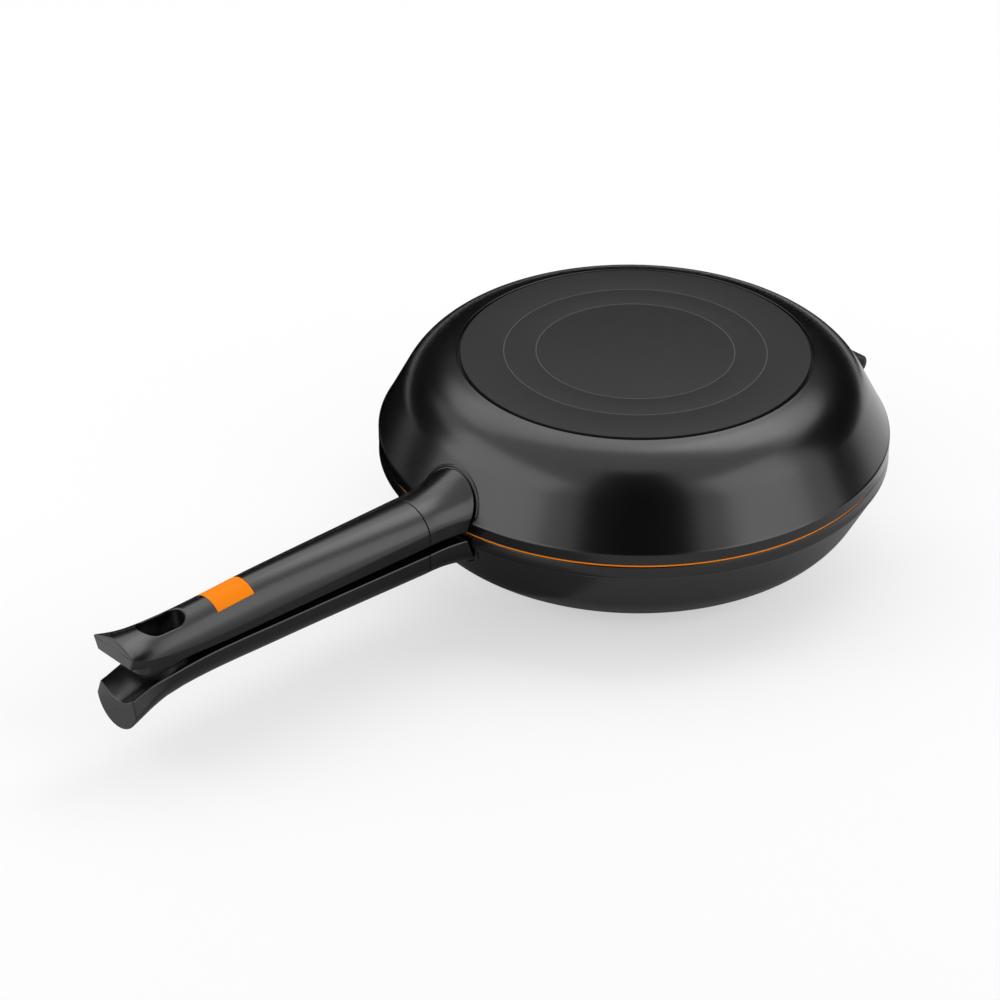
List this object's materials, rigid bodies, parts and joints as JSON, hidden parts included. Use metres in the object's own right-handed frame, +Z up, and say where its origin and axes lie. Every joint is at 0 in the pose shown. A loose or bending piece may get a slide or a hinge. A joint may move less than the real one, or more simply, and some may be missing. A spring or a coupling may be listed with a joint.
{
  "type": "double sided flip pan",
  "caption": "Two hinged frying pans that close rim to rim on a silicone seal, with paired handles that lie one on the other and hanging slots at their tails.",
  "frame": {"origin": "centre of the lower pan's base, on the face that it stands on", "axes": "+Z up, through the upper pan's base; the handles point along -X and the hinge is on the +X side; +Y is across the handles"},
  "size_m": [0.4526, 0.248, 0.091],
  "materials": {
    "pan_coating": "non-stick coated, satin black",
    "base_steel": "dark matt coated steel disc",
    "ferrule_black": "satin black coated",
    "grip_black": "soft-touch satin black",
    "badge_orange": "plain satin orange",
    "seal_orange": "silicone rubber",
    "hinge_black": "black powder coated",
    "screw_steel": "plain stainless",
    "clip_steel": "blued spring steel",
    "magnet_nickel": "nickel plated magnet"
  },
  "bodies": {
    "lower_half": {"lower_pan": "pan_coating", "lower_base_disc": "base_steel", "lower_ferrule": "ferrule_black", "lower_grip": "grip_black", "lower_tie_screw": "screw_steel", "lower_washer": "screw_steel", "lower_screw_plug": "grip_black", "lower_magnet": "magnet_nickel", "lower_hinge_bracket": "hinge_black", "lower_bracket_screws": "screw_steel", "hinge_pin": "screw_steel", "pin_clip": "clip_steel"},
    "upper_half": {"upper_pan": "pan_coating", "upper_base_disc": "base_steel", "upper_ferrule": "ferrule_black", "upper_grip": "grip_black", "upper_tie_screw": "screw_steel", "upper_washer": "screw_steel", "upper_screw_plug": "grip_black", "upper_magnet": "magnet_nickel", "upper_badge": "badge_orange", "rim_seal": "seal_orange", "upper_hinge_bracket": "hinge_black", "upper_bracket_screws": "screw_steel"}
  },
  "joints": [
    {"name": "pan_hinge", "type": "hinge", "parent": "lower_half", "child": "upper_half", "pos_m": [0.132, 0, 0.0455], "axis": [0, 1, 0], "range_deg": [0, 180]}
  ]
}
